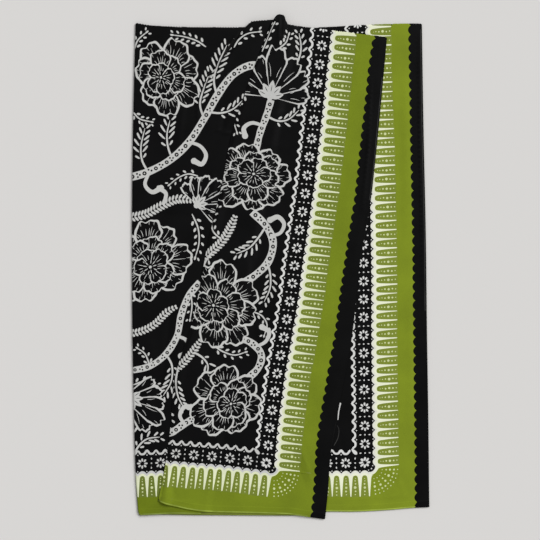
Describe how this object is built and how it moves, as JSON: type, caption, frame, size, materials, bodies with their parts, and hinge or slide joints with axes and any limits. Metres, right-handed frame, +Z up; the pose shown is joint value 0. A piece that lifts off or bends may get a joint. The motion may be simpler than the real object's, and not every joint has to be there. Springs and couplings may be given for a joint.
{
  "type": "folded sarong",
  "caption": "Batik cotton sarong cloth, black and white floral field with a green border, folded in four and laid flat with one slanting pleat.",
  "frame": {"origin": "on the surface that the cloth lies on, under the middle of the folded cloth's box", "axes": "+X towards the selvages, +Y from the hems to the top fold, +Z up out of the visible face"},
  "size_m": [0.5749, 0.9741, 0.0132],
  "materials": {
    "printed_front": "matt plain-woven cotton, black dye with a white resist print and a green border",
    "printed_flap": "matt plain-woven cotton, black dye with a white resist print and a green border",
    "printed_back": "matt plain-woven cotton, green border with white spikes and a black selvage strip",
    "inner_cloth": "wrong side of the same cotton, the print showing through faintly"
  },
  "bodies": {
    "root": {"front_stretch": "printed_front", "flap_stretch": "printed_flap", "back_stretch": "printed_back", "hidden_layers": "inner_cloth"}
  },
  "joints": []
}
